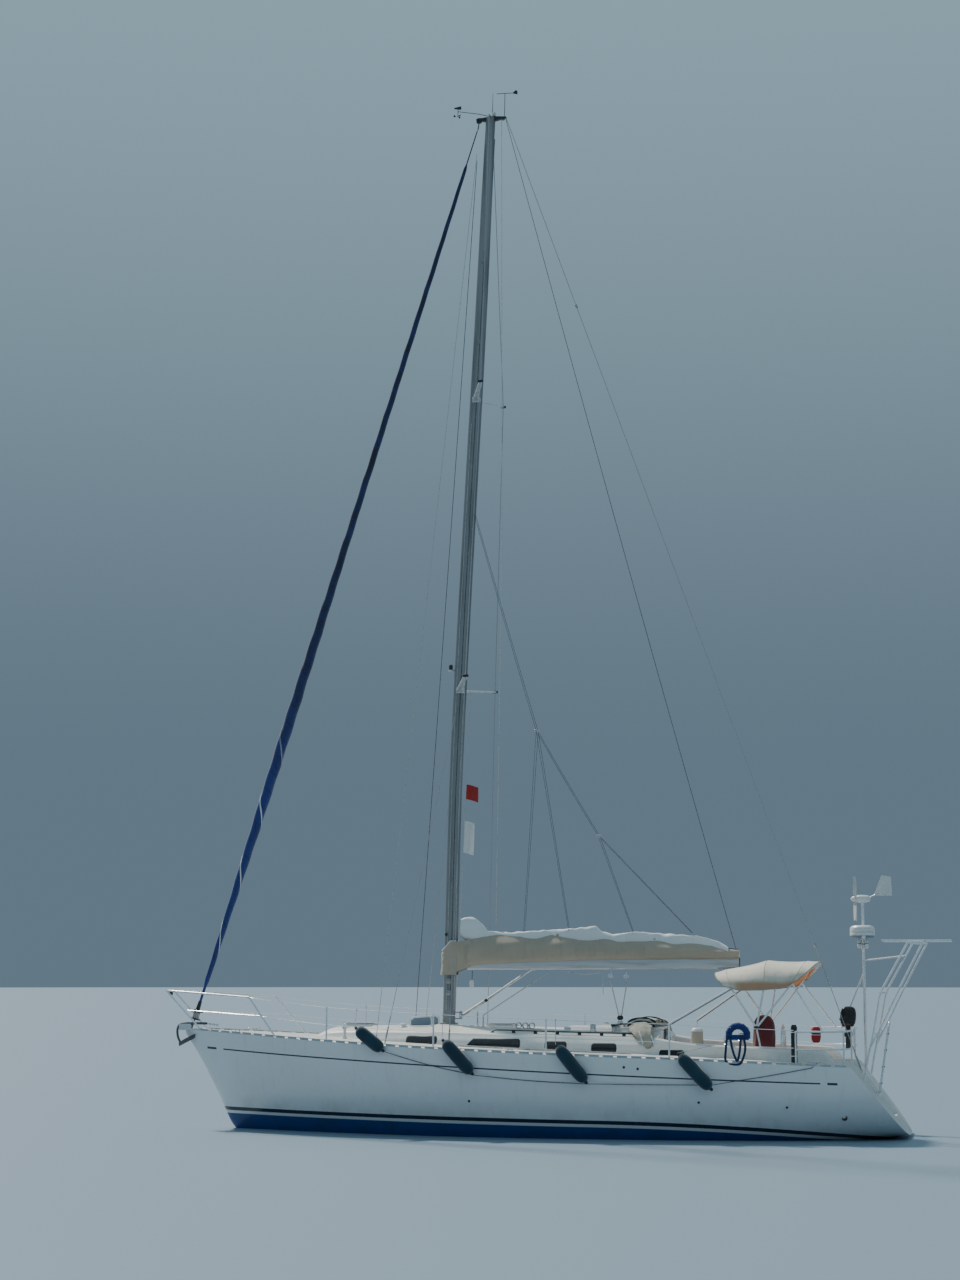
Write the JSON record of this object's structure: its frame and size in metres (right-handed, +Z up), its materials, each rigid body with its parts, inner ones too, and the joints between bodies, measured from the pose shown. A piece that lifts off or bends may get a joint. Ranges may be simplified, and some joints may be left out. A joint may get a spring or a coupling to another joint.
{
  "type": "sailing yacht",
  "caption": "Cruising sloop afloat, mainsail stowed in a boom bag, headsail furled, with bimini, stern gantry, wind generator, fenders and swim ladder.",
  "frame": {"origin": "on the centreline amidships, at the height of the water", "axes": "+X towards the bow, +Y to port, +Z up"},
  "size_m": [13.6724, 4.193, 20.01],
  "materials": {
    "gelcoat": "glossy",
    "deck_gelcoat": "satin, non-slip panels",
    "antifouling": "matt paint",
    "stainless": "polished",
    "anodised_alloy": "satin anodised",
    "galvanised": "galvanised",
    "navy_cloth": "woven",
    "sand_canvas": "woven",
    "fender_cover": "matt",
    "dark_plastic": "matt",
    "smoked_acrylic": "glossy",
    "bronze": "satin",
    "maroon_canvas": "woven",
    "white_plastic": "glossy",
    "blue_cover": "woven",
    "solar_cells": "glossy"
  },
  "bodies": {
    "hull": {"anchor": "galvanised", "backstay": "stainless", "bimini_canopy": "sand_canvas", "bimini_frame": "stainless", "cap_shroud_port": "stainless", "cap_shroud_starboard": "stainless", "danbuoy_sleeve": "dark_plastic", "deck_moulding": "deck_gelcoat", "drive_leg": "anodised_alloy", "fender_1": "fender_cover", "fender_2": "fender_cover", "fender_3": "fender_cover", "fender_4": "fender_cover", "furled_headsail": "navy_cloth", "furler_drum": "dark_plastic", "gantry_frame": "stainless", "guard_rail_port": "stainless", "guard_rail_starboard": "stainless", "hatch_garage": "gelcoat", "horseshoe_buoy": "blue_cover", "hull": "gelcoat", "keel": "antifouling", "lower_shroud_port": "stainless", "lower_shroud_starboard": "stainless", "mast": "anodised_alloy", "outboard_motor": "dark_plastic", "pedestal_cover": "maroon_canvas", "primary_winch_port": "stainless", "primary_winch_starboard": "stainless", "pulpit": "stainless", "pushpit_port": "stainless", "pushpit_starboard": "stainless", "radome": "white_plastic", "sail_bag_front": "sand_canvas", "solar_panel": "solar_cells", "sprayhood": "sand_canvas", "spreaders_lower": "anodised_alloy", "spreaders_upper": "anodised_alloy", "steering_pedestal": "white_plastic", "stem_fitting": "stainless", "toe_rail_port": "anodised_alloy", "toe_rail_starboard": "anodised_alloy", "traveller": "dark_plastic", "washboards": "dark_plastic", "wind_pole": "stainless"},
    "boom": {"boom": "anodised_alloy", "rigid_vang": "anodised_alloy", "sail_bag": "sand_canvas"},
    "rudder": {"rudder": "antifouling"},
    "steering_wheel": {"steering_wheel": "stainless"},
    "propeller": {"propeller": "bronze"},
    "turbine_head": {"turbine_head": "white_plastic"},
    "turbine_rotor": {"turbine_rotor": "white_plastic"},
    "swim_ladder": {"swim_ladder": "stainless"},
    "fore_hatch": {"fore_hatch": "smoked_acrylic"},
    "saloon_hatch": {"saloon_hatch": "smoked_acrylic"},
    "companion_hatch": {"companion_hatch": "gelcoat"},
    "locker_lid_port": {"locker_lid_port": "deck_gelcoat"},
    "locker_lid_starboard": {"locker_lid_starboard": "deck_gelcoat"}
  },
  "joints": [
    {"name": "boom_swing", "type": "hinge", "parent": "hull", "child": "boom", "pos_m": [1.43, 0, 2.84], "axis": [0, 0, 1], "range_deg": [-70, 70]},
    {"name": "rudder_turn", "type": "hinge", "parent": "hull", "child": "rudder", "pos_m": [-4.95, 0, -0.4], "axis": [0, 0, 1], "range_deg": [-35, 35]},
    {"name": "wheel_turn", "type": "hinge", "parent": "hull", "child": "steering_wheel", "pos_m": [-4.12, 0, 1.4], "axis": [1, 0, 0], "range_deg": [-541, 541]},
    {"name": "propeller_spin", "type": "hinge", "parent": "hull", "child": "propeller", "pos_m": [-2.56, 0, -0.86], "axis": [1, 0, 0], "continuous": true},
    {"name": "turbine_yaw", "type": "hinge", "parent": "hull", "child": "turbine_head", "pos_m": [-5.42, -1.25, 3.9], "axis": [0, 0, 1], "continuous": true},
    {"name": "turbine_spin", "type": "hinge", "parent": "turbine_head", "child": "turbine_rotor", "pos_m": [-5.3, -1.25, 3.96], "axis": [1, 0, 0], "continuous": true},
    {"name": "ladder_fold", "type": "hinge", "parent": "hull", "child": "swim_ladder", "pos_m": [-5.735, 0.69, 0.76], "axis": [0, -1, 0], "range_deg": [0, 125]},
    {"name": "fore_hatch_lift", "type": "hinge", "parent": "hull", "child": "fore_hatch", "pos_m": [3.475, 0, 1.8256], "axis": [0, 1, 0], "range_deg": [0, 100]},
    {"name": "saloon_hatch_lift", "type": "hinge", "parent": "hull", "child": "saloon_hatch", "pos_m": [0.935, 0, 1.829], "axis": [0, 1, 0], "range_deg": [0, 70]},
    {"name": "companion_hatch_slide", "type": "slide", "parent": "hull", "child": "companion_hatch", "axis": [1, 0, 0], "range_m": [0, 0.72]},
    {"name": "locker_lid_port_lift", "type": "hinge", "parent": "hull", "child": "locker_lid_port", "pos_m": [-3.2, 0.985, 1.2503], "axis": [-1, 0, 0], "range_deg": [0, 80]},
    {"name": "locker_lid_starboard_lift", "type": "hinge", "parent": "hull", "child": "locker_lid_starboard", "pos_m": [-3.2, -0.985, 1.2503], "axis": [1, 0, 0], "range_deg": [0, 80]}
  ],
  "couplings": [
    {"joint": "wheel_turn", "follows": "rudder_turn", "ratio": 15.429}
  ]
}
